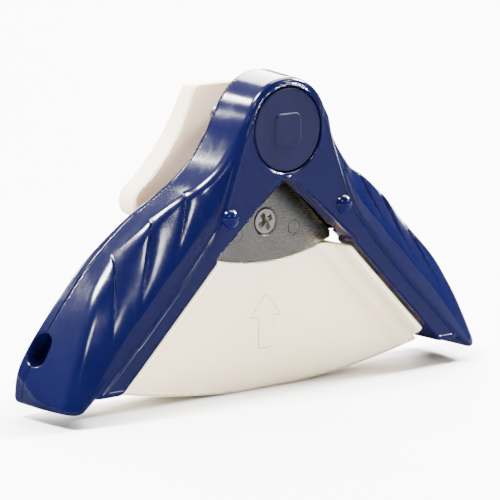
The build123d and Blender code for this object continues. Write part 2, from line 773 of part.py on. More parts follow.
# Squeeze lever: a crowned plate with a stem that reaches the die block.
with BuildPart() as squeeze_lever:
    with BuildSketch(front_plane(LEVER_FRONT)):
        add(lever_outline())
    extrude(amount=-(LEVER_CROWN - LEVER_FRONT))
    with BuildSketch(Plane.YZ.offset(-40)):
        with BuildLine():
            back = ThreePointArc(
                (PANEL_Y + LEVER_EDGE_BACK + 0.4, LEVER_TOP_Z + 1),
                (PANEL_Y + LEVER_CROWN, (LEVER_TOP_Z + LEVER_LOW_Z) / 2),
                (PANEL_Y + LEVER_EDGE_BACK + 0.4, LEVER_LOW_Z - 1),
            )
            Polyline(back @ 1, (PANEL_Y, LEVER_LOW_Z - 1), (PANEL_Y, LEVER_TOP_Z + 1), back @ 0)
        make_face()
    extrude(amount=80, mode=Mode.INTERSECT)
    back_edges = squeeze_lever.faces().sort_by(Axis.Y)[-1].edges()
    fillet(back_edges, LEVER_EDGE_R)
    with BuildSketch(front_plane(BLOCK_BACK)):
        with Locations((0, (STEM_Z[0] + STEM_Z[1]) / 2)):
            RectangleRounded(2 * STEM_X, STEM_Z[1] - STEM_Z[0], 1.5)
    extrude(amount=-(LEVER_FRONT + 1 - BLOCK_BACK))
    with BuildSketch(front_plane(BLOCK_BACK - 1)):
        with Locations(*both_sides(SPRING_XZ)):
            Circle(STOP_HOLE_R)
        with Locations(*both_sides(LEVER_SCREW_XZ)):
            Circle(LEVER_SCREW_R)
    extrude(amount=-20, mode=Mode.SUBTRACT)
    with BuildSketch(front_plane(STOP_SEAT)):
        with Locations(*both_sides(SPRING_XZ)):
            Circle(STOP_POCKET_R)
    extrude(amount=-20, mode=Mode.SUBTRACT)
    with BuildSketch(front_plane(LEVER_SCREW_SEAT)):
        with Locations(*both_sides(LEVER_SCREW_XZ)):
            Circle(LEVER_SCREW_HEAD_R + 0.2)
    extrude(amount=-20, mode=Mode.SUBTRACT)
squeeze_lever.part.label = "squeeze_lever"
export_step(squeeze_lever.part, "parts/squeeze_lever.step")

# Screws from the lever into the die block.
with BuildPart() as lever_screws:
    with BuildSketch(front_plane(LEVER_SCREW_TIP)):
        with Locations(*both_sides(LEVER_SCREW_XZ)):
            Circle(LEVER_SCREW_R)
    extrude(amount=-(LEVER_SCREW_SEAT - LEVER_SCREW_TIP))
    with BuildSketch(front_plane(LEVER_SCREW_SEAT)):
        with Locations(*both_sides(LEVER_SCREW_XZ)):
            Circle(LEVER_SCREW_HEAD_R)
    extrude(amount=-LEVER_SCREW_HEAD_T)
lever_screws.part.label = "lever_screws"
export_step(lever_screws.part, "parts/lever_screws.step")

# Stop screws in the housing: they hold the lever against its springs.
with BuildPart() as stop_screws:
    with BuildSketch(front_plane(HEAD_WEB + 1)):
        with Locations(*both_sides(SPRING_XZ)):
            Circle(STOP_THREAD_R)
    extrude(amount=-(SPIGOT_END - HEAD_WEB - 1))
    with BuildSketch(front_plane(SPIGOT_END)):
        with Locations(*both_sides(SPRING_XZ)):
            Circle(STOP_SHANK_R)
    extrude(amount=-(STOP_SEAT - SPIGOT_END))
    with BuildSketch(front_plane(STOP_SEAT)):
        with Locations(*both_sides(SPRING_XZ)):
            Circle(STOP_HEAD_R)
    extrude(amount=-STOP_HEAD_T)
stop_screws.part.label = "stop_screws"
export_step(stop_screws.part, "parts/stop_screws.step")

# Return springs, from the head's web to the lever.
for side, hand in ((1, "right"), (-1, "left")):
    start = HEAD_WEB + SPRING_WIRE_R + 0.05
    length = LEVER_FRONT - HEAD_WEB - 2 * SPRING_WIRE_R - 0.1
    with BuildPart() as return_spring:
        with BuildLine():
            coil = Helix(
                pitch=length / SPRING_TURNS,
                height=length,
                radius=SPRING_R,
                center=(side * SPRING_XZ[0], PANEL_Y + start, SPRING_XZ[1]),
                direction=(0, 1, 0),
            )
        with BuildSketch(Plane(origin=coil @ 0, z_dir=coil % 0)):
            Circle(SPRING_WIRE_R)
        sweep(path=coil, is_frenet=True)
    return_spring.part.label = f"return_spring_{hand}"
    export_step(return_spring.part, f"parts/return_spring_{hand}.step")
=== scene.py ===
"""Corner punch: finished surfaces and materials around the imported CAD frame.

Shapes are written in millimetres in the punch's own terms: x to the side, d the depth behind
the flat front panel, z the height above the ground. Solids are distance fields, negative
inside, so that every edge can be rounded, and net_mesh() turns each into a mesh in metres.
"""

import math

import bmesh
import bpy
import numpy as np
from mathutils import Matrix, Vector


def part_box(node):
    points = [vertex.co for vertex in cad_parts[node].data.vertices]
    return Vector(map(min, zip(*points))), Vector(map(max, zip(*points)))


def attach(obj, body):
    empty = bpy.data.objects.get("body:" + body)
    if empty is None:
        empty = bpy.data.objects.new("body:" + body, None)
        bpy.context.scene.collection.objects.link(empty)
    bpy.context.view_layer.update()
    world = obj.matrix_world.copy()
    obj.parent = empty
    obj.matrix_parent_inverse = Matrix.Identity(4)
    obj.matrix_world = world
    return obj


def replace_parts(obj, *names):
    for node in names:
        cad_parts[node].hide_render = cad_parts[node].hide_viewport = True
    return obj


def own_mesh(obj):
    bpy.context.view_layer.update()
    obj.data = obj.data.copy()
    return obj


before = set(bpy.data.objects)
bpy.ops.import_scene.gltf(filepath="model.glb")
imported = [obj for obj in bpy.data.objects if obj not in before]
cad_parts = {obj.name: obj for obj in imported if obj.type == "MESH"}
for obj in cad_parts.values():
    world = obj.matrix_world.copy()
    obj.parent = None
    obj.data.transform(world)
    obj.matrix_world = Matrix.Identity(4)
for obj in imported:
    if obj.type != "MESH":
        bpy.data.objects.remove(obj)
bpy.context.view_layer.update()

MM = 0.001
ROOT2 = math.sqrt(2)
HOUSING = "housing"
MOVING = "squeeze_unit"


def middle(node, axis):
    """Middle of a CAD node along one axis, in millimetres."""
    low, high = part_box(node)
    return (low[axis] + high[axis]) / 2 / MM


# Places read from the frame.
X, Y, Z = range(3)
HOUSING_LOW, HOUSING_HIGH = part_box("front_housing")
BADGE_LOW, BADGE_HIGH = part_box("badge_cap")
DIE_LOW, DIE_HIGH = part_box("die_plate")
DOWEL_LOW, DOWEL_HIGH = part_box("dowel_pins")
LEVER_LOW, LEVER_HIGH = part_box("squeeze_lever")
SPRING_LOW, SPRING_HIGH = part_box("return_spring_right")
PANEL_Y = HOUSING_LOW.y / MM
FOOT_Z = HOUSING_LOW.z / MM
BADGE_Z = middle("badge_cap", Z)
BADGE_R = (BADGE_HIGH.x - BADGE_LOW.x) / 2 / MM
HEAD_GROWTH = 0.95
HEAD_R = HOUSING_HIGH.z / MM - BADGE_Z - HEAD_GROWTH
RIVET_R = 2.3
RIVET_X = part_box("dome_rivets")[1].x / MM - RIVET_R
RIVET_Z = middle("dome_rivets", Z)
DIE_DEPTH = DIE_LOW.y / MM - PANEL_Y
DIE_T = (DIE_HIGH.y - DIE_LOW.y) / MM
DIE_HALF_W = DIE_HIGH.x / MM
SCREW_Z = middle("die_screw", Z)
SCREW_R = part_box("die_screw")[1].x / MM
DOWEL_Z = middle("dowel_pins", Z)
DOWEL_R = (DOWEL_HIGH.z - DOWEL_LOW.z) / 2 / MM
DOWEL_X = DOWEL_HIGH.x / MM - DOWEL_R
PIN_DEPTH = middle("hinge_pin_right", Y) - PANEL_Y
PIN_Z = middle("hinge_pin_right", Z)
TRAY_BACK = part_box("paper_tray")[1].y / MM - PANEL_Y
LEVER_TOP_Z = LEVER_HIGH.z / MM
LEVER_LOW_Z = LEVER_LOW.z / MM
LEVER_BACK = LEVER_HIGH.y / MM - PANEL_Y
LEVER_SCREW_R = 2.3
LEVER_SCREW_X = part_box("lever_screws")[1].x / MM - LEVER_SCREW_R
LEVER_SCREW_Z = middle("lever_screws", Z)
SPRING_X = middle("return_spring_right", X)
SPRING_Z = middle("return_spring_right", Z)
SPRING_WIRE_R = 0.35
SPRING_TURNS = 7
WIRE_SIDES = 12


# ---------------------------------------------------------------- distance fields

def curve(*points):
    """Smooth line through (along, value) points, straight beyond both ends."""
    knots, values = np.array(points, float).T
    slopes = np.gradient(values, knots)

    def at(x):
        i = np.clip(np.searchsorted(knots, x) - 1, 0, len(knots) - 2)
        span = knots[i + 1] - knots[i]
        t = np.clip((x - knots[i]) / span, 0, 1)
        rise = values[i + 1] - values[i]
        a = slopes[i] * span
        b = slopes[i + 1] * span
        inner = values[i] + t * (a + t * (3 * rise - 2 * a - b + t * (a + b - 2 * rise)))
        before = np.minimum(x - knots[0], 0) * slopes[0]
        after = np.maximum(x - knots[-1], 0) * slopes[-1]
        return inner + before + after

    return at


def smooth_step(low, high, x):
    t = np.clip((x - low) / (high - low), 0, 1)
    return t * t * (3 - 2 * t)


def join(a, b, r=0.0):
    """Union of two solids, with a fillet of about radius r where they meet."""
    if r == 0:
        return np.minimum(a, b)
    h = np.maximum(r - np.abs(a - b), 0) / r
    return np.minimum(a, b) - h * h * r / 4


def keep(a, b, r=0.0):
    """Overlap of two solids, with a rounded edge of about radius r."""
    return -join(-a, -b, r)


def cut(a, b, r=0.0):
    """Solid a without solid b."""
    return keep(a, -b, r)


def disc(x, z, at_x, at_z, radius):
    """Cylinder along the depth axis, on both sides of the mirror plane."""
    return np.hypot(np.abs(x) - at_x, z - at_z) - radius


def cross_rod(x, d, z, x_from, x_to, radius):
    """Rod along x on the hinge axis, on both sides of the mirror plane."""
    side = np.abs(x)
    ends = np.maximum(x_from - side, side - x_to)
    return keep(np.hypot(d - PIN_DEPTH, z - PIN_Z) - radius, ends)


def outline_distance(x, z, points):
    """Signed distance to a closed outline, given as corner points."""
    best = np.full(np.broadcast(x, z).shape, 1e9)
    inside = np.zeros(best.shape, bool)
    for (ax, az), (bx, bz) in zip(points, points[1:] + points[:1]):
        ex, ez = bx - ax, bz - az
        t = np.clip(((x - ax) * ex + (z - az) * ez) / (ex * ex + ez * ez), 0, 1)
        best = np.minimum(best, np.hypot(x - ax - t * ex, z - az - t * ez))
        crosses = (az > z) != (bz > z)
        at_x = ax + (z - az) * ex / (ez if ez else 1e-9)
        inside ^= crosses & (x < at_x)
    return np.where(inside, -best, best)


def mirrored(points):
    """Closed outline from its right half, listed from the top to the bottom."""
    return points + [(-x, z) for x, z in reversed(points) if x > 0]


def spline_points(points, per_span=6):
    """Points along a smooth curve through the given ones, per_span from each to the next."""
    p = np.array(points, float)
    knots = np.arange(len(p))
    fine = np.linspace(0, len(p) - 1, (len(p) - 1) * per_span + 1)
    along_x = curve(*zip(knots, p[:, 0]))(fine)
    along_z = curve(*zip(knots, p[:, 1]))(fine)
    return list(zip(along_x, along_z))


def steps(low, high, size):
    """Grid lines from low to high, about size apart."""
    return np.linspace(low, high, int(round((high - low) / size)) + 1)


def crossings(grid, axes, a):
    """Grid edges along axis a that cross the surface: their cells, points and directions."""
    low = [slice(None)] * 3
    high = [slice(None)] * 3
    low[a] = slice(None, -1)
    high[a] = slice(1, None)
    g0 = grid[tuple(low)]
    g1 = grid[tuple(high)]
    index = np.argwhere((g0 < 0) != (g1 < 0))
    v0 = g0[tuple(index.T)]
    v1 = g1[tuple(index.T)]
    t = v0 / (v0 - v1)
    point = np.stack([axes[k][index[:, k]] for k in range(3)], 1)
    point[:, a] += t * (axes[a][index[:, a] + 1] - axes[a][index[:, a]])
    b, c = (a + 1) % 3, (a + 2) % 3
    ring = []
    for back_b, back_c in ((0, 0), (1, 0), (1, 1), (0, 1)):
        cell = index.copy()
        cell[:, b] -= back_b
        cell[:, c] -= back_c
        ring.append(np.ravel_multi_index(cell.T, grid.shape))
    ring = np.stack(ring, 1)
    ring[v0 > 0] = ring[v0 > 0][:, ::-1]
    return ring, point


def gradient(field, p, h=0.02):
    """Slope of the field at points p, by differences over h to each side."""
    parts = []
    for k in range(3):
        step = np.zeros(3)
        step[k] = h
        parts.append(field(*(p + step).T) - field(*(p - step).T))
    return np.stack(parts, 1) / (2 * h)


def net_mesh(name, field, xs, ds, zs, pulls=3):
    """Object whose surface is where the field is zero: surface nets, pulled onto the field."""
    axes = (xs, ds, zs)
    grid = field(xs[:, None, None], ds[None, :, None], zs[None, None, :])
    found = [crossings(grid, axes, a) for a in range(3)]
    quads = np.concatenate([ring for ring, _ in found])
    points = np.concatenate([np.repeat(point, 4, 0) for _, point in found])
    cells, place = np.unique(quads.ravel(), return_inverse=True)
    place = place.ravel()
    count = np.bincount(place)
    p = np.stack([np.bincount(place, points[:, k]) / count for k in range(3)], 1)
    reach = 0.6 * (xs[1] - xs[0])
    for _ in range(pulls):
        g = gradient(field, p)
        move = -(field(*p.T) / np.maximum((g * g).sum(1), 0.05))[:, None] * g
        length = np.linalg.norm(move, axis=1, keepdims=True)
        p = p + move * np.minimum(1, reach / np.maximum(length, 1e-9))
    faces = place.reshape(-1, 4)
    world = p.copy()
    world[:, 1] += PANEL_Y
    mesh = bpy.data.meshes.new(name)
    mesh.from_pydata((world * MM).tolist(), [], faces.tolist())
    mesh.shade_smooth()
    mesh.validate()
    obj = bpy.data.objects.new(name, mesh)
    bpy.context.scene.collection.objects.link(obj)
    return obj


# ---------------------------------------------------------------- shape of the housing

WALL = 2.0
HEAD_DEPTH = 12.2
HEAD_TAPER = 0.085
REAR_SLOPE = 0.148
SEAM_DEPTH = 11.2
SEAM_SLOPE = 0.10
SEAM_GAP = 0.02
SEAM_ROUND = 0.12
CREST_ROUND = 1.4
NECK_ROUND = 2.6
ARM_START = 6.5
ARM_START_ROUND = 3
INNER_EDGE = -5.9
LIP_T = 1.0
LIP_STEP = 32.0
LIP_DEPTH = 4.8
LIP_LOW_DEPTH = 6.9
LOW_WALL_T = 1.4
LOW_WALL_START = 46
FOOT_X = HOUSING_HIGH.x / MM - 0.1
FOOT_ROUND = 1.2
FOOT_TIP_X = 58.0
SOLE_ROUND = 2.2
STRIP_END_Z = FOOT_Z + 3.0

# The V between the arms: a blunt apex below the head, then edges along the arms.
VEE_Z = 34.3
VEE_SLOPE = 0.8534
VEE_HALF_W = 20.535
VEE_BLUNT = 1.44

WEB_R = 12
WEB_DEPTH = 3.4
BOSS_R = 3.0
BOSS_DEPTH = 5.0
STOP_POST_R = 1.9
STOP_POST_DEPTH = 8.0
BADGE_SEAT_R = 10.0
BADGE_SEAT_DEPTH = 1.5
HINGE_X = 24.8
HINGE_BOSS_END = 45.0
HINGE_BOSS_R = 3.4
PIN_HOLE = (23.0, 43.0, 1.5)

LANYARD_X = 59.07
LANYARD_BELOW_BADGE = 46.3
LANYARD_DEPTH = 15.45
LANYARD_TILT = math.radians(26)
LANYARD_R = 2.6
LANYARD_HALF_SLOT = 1.4
LANYARD_REACH = 4

# An arm is measured along its axis, which leaves the badge at 45 degrees, and out from it.
GROOVE_OUT = curve(
    (8, 9.4), (12, 7.4), (16.8, 5.1), (21, 3.2), (25, 1.3), (30, -0.2), (37, -0.9), (75, -1.4),
)
CREST_OUT = curve(
    (4, 11.6), (10, 9.2), (15, 8.0), (20, 7.6), (24, 8.0), (28, 9.3), (35, 10.8), (44, 11.5),
    (53, 11.5), (61, 10.9), (69, 8.5), (77, 5.4), (86, 1.7),
)
CREST_DEPTH = curve(
    (4, 1.0), (11, 1.4), (20, 2.5), (26, 4.4), (32, 6.0), (40, 7.2), (49, 8.7), (57, 7.9),
    (66, 5.6), (73, 4.0), (86, 2.3),
)
REAR_OUT = curve(
    (4, 11.8), (10.7, 10.5), (18.5, 9.0), (23.6, 9.1), (30, 10.2), (38, 12.1), (47, 13.2),
    (54, 13.4), (61.4, 12.5), (69, 11.4), (76, 9.9), (82, 7.8), (90, 4.6),
)
STRIP_SHARE = 0.3
STRIP_NEAR = 0.3
STRIP_FAR = 0.8
GROOVE_DEEP = 0.42
GROOVE_WIDE = 0.7

# Finger grooves: where each leaves the crest, and where it dies out near the strip.
GRIPS = [((27.0, 9.3), (45.0, 2.6)), ((37.5, 10.9), (60.0, 2.3)), ((50.0, 11.3), (70.0, 3.0))]

# Screws of the rear cover as (along, out) on the arm, and the window in it as (x, z).
COVER_SCREWS = [(22, 5.0), (49, 5.5), (68, 4.0)]
COVER_SCREW_R = 1.1
COVER_SEAT_R = 1.9
COVER_SEAT_DEPTH = 0.5
COVER_WINDOW = [
    (0, 57), (14.6, 49), (14.6, 36), (31.4, 33.6), (33.2, 30.4), (28.35, 25.5), (73.9, -20),
    (0, -20),
]


def arm_along(x, z):
    return (np.abs(x) - (z - BADGE_Z)) / ROOT2


def arm_out(x, z):
    return (np.abs(x) + (z - BADGE_Z)) / ROOT2


def rear_depth(z):
    return HEAD_DEPTH + REAR_SLOPE * np.maximum(0, BADGE_Z - z)


def seam_depth(z):
    return SEAM_DEPTH + SEAM_SLOPE * np.maximum(0, BADGE_Z - z)


def grip_relief(along, out):
    """Extra depth of the finger grooves: a crease with a rolled edge on its outer side."""
    relief = 0
    for (a0, o0), (a1, o1) in GRIPS:
        t = (along - a0) / (a1 - a0)
        line = o1 + (o0 - o1) * np.where(t < 1, np.abs(1 - t) ** 1.25, 0)
        q = (out - line) * 0.92
        fade = smooth_step(1.02, 0.15, t) * smooth_step(-0.35, -0.1, t)
        crease = 0.75 * np.exp(-np.abs(q) / 0.8)
        edge = 0.8 * smooth_step(-0.15, 0.15, q) * np.exp(-np.maximum(q, 0) / 2.2)
        relief = relief + fade * (crease - edge)
    return relief


def front_depth(x, z):
    """Depth of the front face: the panel, its edge groove, the strip and the grip slope."""
    along = arm_along(x, z)
    out = arm_out(x, z)
    groove = GROOVE_OUT(along)
    width = np.maximum(CREST_OUT(along) - groove, 0.8)
    u = (out - groove) / width
    deep = CREST_DEPTH(along)
    strip = STRIP_NEAR + (STRIP_FAR - STRIP_NEAR) * np.clip(u / STRIP_SHARE, 0, 1)
    rise = np.maximum(u - STRIP_SHARE, 0) / (1 - STRIP_SHARE)
    slope = strip * np.minimum(deep, 1) + (deep - STRIP_FAR) * rise ** 1.25
    shown = smooth_step(7, 13, along)
    slope = slope + grip_relief(along, out) * smooth_step(0.12, 0.4, u)
    edge = smooth_step(-0.35, 0.35, (out - groove))
    vee = GROOVE_DEEP * np.maximum(0, 1 - np.abs(out - groove) / GROOVE_WIDE)
    return shown * (edge * slope + vee)


def outer_side(x, d, z):
    """Side walls of the head and arms, without front or rear faces."""
    along = arm_along(x, z)
    out = arm_out(x, z)
    deep = CREST_DEPTH(along)
    crest = CREST_OUT(along)
    lean = (REAR_OUT(along) - crest) / (rear_depth(z) - deep)
    arm = (out - crest - lean * (d - deep)) * 0.96
    arm = keep(arm, np.abs(x) - FOOT_X, FOOT_ROUND)
    arm = keep(arm, ARM_START - along, ARM_START_ROUND)
    head = np.hypot(x, z - BADGE_Z) - HEAD_R - HEAD_TAPER * d
    side = join(head, arm, NECK_ROUND)
    sole = FOOT_Z - z
    strip_end = STRIP_END_Z - z
    slant = (np.abs(x) - FOOT_TIP_X) * -0.62 - (z - FOOT_Z) * 0.785
    sole = keep(sole, join(strip_end, slant), 0.6)
    return keep(side, sole, SOLE_ROUND)


def opening(x, z):
    """The V between the arms, negative inside it."""
    side = np.abs(x)
    apex_line = VEE_Z + VEE_SLOPE * (VEE_HALF_W - np.sqrt(side * side + VEE_BLUNT))
    upper = keep((z - apex_line) * 0.76, side - 20.5)
    lower = keep(arm_out(x, z) - INNER_EDGE, 17 - side)
    return join(upper, lower)


def lanyard(x, d, z):
    """Oval hole through the outer wall of each foot."""
    dz = z - (BADGE_Z - LANYARD_BELOW_BADGE)
    dx = np.abs(x) - LANYARD_X
    in_wall = -dx * math.sin(LANYARD_TILT) + dz * math.cos(LANYARD_TILT)
    through = dx * math.cos(LANYARD_TILT) + dz * math.sin(LANYARD_TILT)
    length = np.maximum(np.abs(in_wall) - LANYARD_HALF_SLOT, 0)
    oval = np.hypot(length, d - LANYARD_DEPTH) - LANYARD_R
    return keep(oval, np.abs(through) - LANYARD_REACH)


def housing_field(x, d, z):
    front = front_depth(x, z) - d
    side = outer_side(x, d, z)
    solid = keep(side, front, CREST_ROUND)
    hole = opening(x, z)
    low_wall = keep(arm_out(x, z) - INNER_EDGE - LOW_WALL_T, LOW_WALL_START - arm_along(x, z))
    lip_depth = np.where(arm_along(x, z) > LIP_STEP, LIP_LOW_DEPTH, LIP_DEPTH)
    lip = keep(hole - LIP_T, d - lip_depth)
    web = keep(np.hypot(x, z - BADGE_Z) - WEB_R, d - WEB_DEPTH)
    boss = keep(disc(x, z, RIVET_X, RIVET_Z, BOSS_R), d - BOSS_DEPTH)
    void = keep(keep(side, front) + WALL, -join(join(lip, low_wall), join(web, boss)))
    void = cut(void, keep(disc(x, z, SPRING_X, SPRING_Z, STOP_POST_R), d - STOP_POST_DEPTH))
    void = cut(void, cross_rod(x, d, z, HINGE_X, HINGE_BOSS_END, HINGE_BOSS_R))
    solid = cut(solid, void)
    solid = cut(solid, hole, 0.5)
    badge_seat = keep(np.hypot(x, z - BADGE_Z) - BADGE_SEAT_R, d - BADGE_SEAT_DEPTH)
    solid = cut(solid, badge_seat, 0.35)
    solid = cut(solid, cross_rod(x, d, z, *PIN_HOLE))
    solid = keep(solid, d - seam_depth(z) + SEAM_GAP, SEAM_ROUND)
    return cut(solid, lanyard(x, d, z), 0.3)


def cover_field(x, d, z):
    side = outer_side(x, d, z)
    solid = keep(side, d - rear_depth(z), 1.0)
    solid = keep(solid, seam_depth(z) + SEAM_GAP - d, SEAM_ROUND)
    solid = cut(solid, outline_distance(x, z, mirrored(COVER_WINDOW)), 0.4)
    solid = cut(solid, disc(x, z, SPRING_X, SPRING_Z, 3.9), 0.4)
    for screw_along, screw_out in COVER_SCREWS:
        at_x = (screw_along + screw_out) / ROOT2
        at_z = BADGE_Z + (screw_out - screw_along) / ROOT2
        seat = seam_depth(at_z) + COVER_SEAT_DEPTH
        solid = cut(solid, disc(x, z, at_x, at_z, COVER_SCREW_R))
        solid = cut(solid, keep(disc(x, z, at_x, at_z, COVER_SEAT_R), seat - d), 0.3)
    return cut(solid, lanyard(x, d, z), 0.3)


# ---------------------------------------------------------------- shape of the moving parts

TRAY_OUT = -6.5
TRAY_WALL_T = 1.1
TRAY_WALL_FRONT = 1.0
TRAY_FLOOR = 8.4
TRAY_FLOOR_T = 1.8
TRAY_ARC_R = 205.3
TRAY_SKIRT_T = 1.8
TRAY_TOP_Z = 32.9
TRAY_FILLET = 3.0
GUIDE_END = (67.0, 71.5)
ARROW = [(0, 22.5), (4.4, 17.2), (1.9, 17.2), (1.9, 9.8)]
ARROW_HEIGHT = 0.06
EAR_END = 34.8
EAR_R = 3.8
BUSH_HOLE = (20, 29.3, 2.3)

# The die plate lies in a recess, on a shelf that joins the tray's floor to the lever's stem.
DIE_EDGE = 4.9
DIE_APEX_R = 12
DIE_APEX_Z = BADGE_Z - DIE_EDGE * ROOT2 - DIE_APEX_R * ROOT2
DIE_ARC_R = 56.5
DIE_GAP = 0.05
SHELF_INSET = 0.5
SHELF_HALF_T = 1
SHELF_LOW_Z = 27
LOW_SHELF_Z = 30.5
LOW_SHELF_HALF_H = 3.5

SCREW_SHANK_R = 1.5
SCREW_HEAD_T = 1.25
SCREW_TIP = 14.5
SCREW_GAP = 0.22
DOWEL_GAP = 0.06
CROSS_TURN = math.radians(28)
CROSS_REACH = 2.1
CROSS_HALF_W = 0.6
CROSS_DEPTH = 2.6
CROSS_TAPER = 0.35

LEVER_FRONT = 19.0
LEVER_CROWN = 2.1
LEVER_CROWN_HALF_H = 20.5
LEVER_BACK_ROUND = 1.6
STEM_HALF_W = 12.5
STEM_Z = 39
STEM_HALF_H = 6.5
STEM_FRONT = 15.0
STEM_BACK = 20
STOP_HOLE_R = 1.9
STOP_SINK_R = 3.4
STOP_SINK_DEPTH = 20.6
LEVER_SCREW_HOLE_R = 1.3
LEVER_SCREW_SINK_R = 2.5
LEVER_SCREW_SINK_DEPTH = 20.0
LEVER_CAP = [(0.01, LEVER_TOP_Z), (6.0, LEVER_TOP_Z), (11.0, LEVER_TOP_Z - 0.05)]
LEVER_FLANK = [
    (12.6, 71.3), (13.6, 69.2), (14.6, 66.6), (17.2, 61.2), (21.2, 55.7), (25.8, 51.0),
    (29.2, 48.2), (30.2, 45.4), (29.4, 42.9), (27.0, 41.8), (23.6, 41.3), (19.8, 39.9),
    (17.0, 37.4), (15.4, 34.4), (14.2, 32.2), (12.0, 31.05),
]
LEVER_FOOT = [(6.0, LEVER_LOW_Z), (0.01, LEVER_LOW_Z)]
LEVER_HALF = spline_points(LEVER_CAP, 2) + spline_points(LEVER_FLANK) + LEVER_FOOT

BADGE_FACE = 0.22
BADGE_T = 1.5
MARK_HEIGHT = 0.2
MARK_HALF = 2.2
MARK_CORNER = 1.5
STUD_R = 2.0
STUD_FROM = 1.4
STUD_TO = 4.2


def die_sector(x, z, grow):
    """The die plate's outline: two straight edges at 45 degrees, short sides and an arc below."""
    top = keep(arm_out(x, z) + DIE_EDGE - grow, np.abs(x) - DIE_HALF_W - grow)
    apex_round = np.hypot(x, z - DIE_APEX_Z) - DIE_APEX_R - grow
    near_apex = (np.abs(x) < DIE_APEX_R / ROOT2) & (z > DIE_APEX_Z)
    top = np.where(near_apex, np.maximum(top, apex_round), top)
    arc = np.hypot(x, z - DIE_LOW.z / MM - DIE_ARC_R) - DIE_ARC_R - grow
    return keep(top, arc)


def tray_field(x, d, z):
    out = arm_out(x, z)
    arc = np.hypot(x, z - TRAY_ARC_R) - TRAY_ARC_R
    block = keep(out - TRAY_OUT, arc, 0.5)
    block = keep(block, z - TRAY_TOP_Z, 0.4)
    block = keep(block, np.maximum(TRAY_WALL_FRONT - d, d - TRAY_BACK), 0.5)
    inner = out - TRAY_OUT + TRAY_WALL_T
    arrow = outline_distance(x, z, mirrored(ARROW))
    floor = TRAY_FLOOR - ARROW_HEIGHT * smooth_step(0.1, -0.2, arrow)
    block = cut(block, keep(inner, d - floor, TRAY_FILLET), 0.35)
    lean = (GUIDE_END[1] - GUIDE_END[0]) / (TRAY_FLOOR - TRAY_WALL_FRONT)
    guide_end = GUIDE_END[0] + (d - TRAY_WALL_FRONT) * lean
    block = cut(block, keep(guide_end - arm_along(x, z), d - TRAY_FLOOR), 0.3)
    under = keep(keep(inner, arc + TRAY_SKIRT_T, 1.2), TRAY_FLOOR + TRAY_FLOOR_T - d, 0.8)
    block = cut(block, under, 0.3)
    ear = keep(cross_rod(x, d, z, HINGE_X, EAR_END, EAR_R), out - TRAY_OUT)
    block = join(block, ear, 0.8)
    block = cut(block, keep(die_sector(x, z, DIE_GAP), DIE_DEPTH - 1 - d), 0.2)
    sheet = np.abs(d - DIE_DEPTH - DIE_T - SHELF_HALF_T) - SHELF_HALF_T
    shelf = keep(np.maximum(die_sector(x, z, -SHELF_INSET), SHELF_LOW_Z - z), sheet)
    low_side = np.abs(x) - DIE_HALF_W + SHELF_INSET
    low_shelf = keep(np.maximum(low_side, np.abs(z - LOW_SHELF_Z) - LOW_SHELF_HALF_H), sheet)
    block = join(block, join(shelf, low_shelf), 0.2)
    block = cut(block, keep(disc(x, z, DOWEL_X, DOWEL_Z, DOWEL_R), DIE_DEPTH - d))
    block = cut(block, keep(disc(x, z, 0, SCREW_Z, SCREW_SHANK_R), DIE_DEPTH - d))
    return cut(block, cross_rod(x, d, z, *BUSH_HOLE))


def lever_field(x, d, z):
    side = outline_distance(x, z, mirrored(LEVER_HALF))
    centre = (LEVER_TOP_Z + LEVER_LOW_Z) / 2
    back = LEVER_BACK - LEVER_CROWN * ((z - centre) / LEVER_CROWN_HALF_H) ** 2
    solid = keep(side, d - back, LEVER_BACK_ROUND)
    solid = keep(solid, LEVER_FRONT - d, 0.7)
    stem = keep(np.abs(x) - STEM_HALF_W, np.abs(z - STEM_Z) - STEM_HALF_H, 1.5)
    stem = keep(stem, np.maximum(STEM_FRONT - d, d - STEM_BACK), 0.2)
    solid = join(solid, stem, 1.0)
    solid = cut(solid, disc(x, z, SPRING_X, SPRING_Z, STOP_HOLE_R))
    stop_sink = keep(disc(x, z, SPRING_X, SPRING_Z, STOP_SINK_R), STOP_SINK_DEPTH - d)
    solid = cut(solid, stop_sink, 0.5)
    solid = cut(solid, disc(x, z, LEVER_SCREW_X, LEVER_SCREW_Z, LEVER_SCREW_HOLE_R))
    screw_sink = disc(x, z, LEVER_SCREW_X, LEVER_SCREW_Z, LEVER_SCREW_SINK_R)
    return cut(solid, keep(screw_sink, LEVER_SCREW_SINK_DEPTH - d), 0.5)


def die_field(x, d, z):
    plate = keep(die_sector(x, z, 0), np.abs(d - DIE_DEPTH - DIE_T / 2) - DIE_T / 2, 0.18)
    plate = cut(plate, disc(x, z, DOWEL_X, DOWEL_Z, DOWEL_R + DOWEL_GAP), 0.12)
    sink = np.hypot(x, z - SCREW_Z) - SCREW_R - SCREW_GAP + np.maximum(d - DIE_DEPTH, 0) * 1.5
    hole = np.hypot(x, z - SCREW_Z) - SCREW_SHANK_R
    return cut(plate, join(sink * 0.8, hole), 0.12)


def screw_field(x, d, z):
    """Flush screw with a cross recess whose arms taper towards the middle."""
    r = np.hypot(x, z - SCREW_Z)
    below = d - DIE_DEPTH
    head = keep(r - SCREW_R + np.maximum(below, 0) * 1.46, below - SCREW_HEAD_T)
    shank = keep(r - SCREW_SHANK_R, d - SCREW_TIP)
    solid = keep(join(head * 0.8, shank), -below, 0.35)
    a = x * math.cos(CROSS_TURN) + (z - SCREW_Z) * math.sin(CROSS_TURN)
    b = (z - SCREW_Z) * math.cos(CROSS_TURN) - x * math.sin(CROSS_TURN)
    reach = CROSS_REACH - CROSS_TAPER * below
    arm_a = keep(np.abs(a) - CROSS_HALF_W, np.abs(b) - reach, 0.15)
    arm_b = keep(np.abs(b) - CROSS_HALF_W, np.abs(a) - reach, 0.15)
    recess = keep(join(arm_a, arm_b, 0.3), below - CROSS_DEPTH)
    return cut(solid, recess, 0.12)


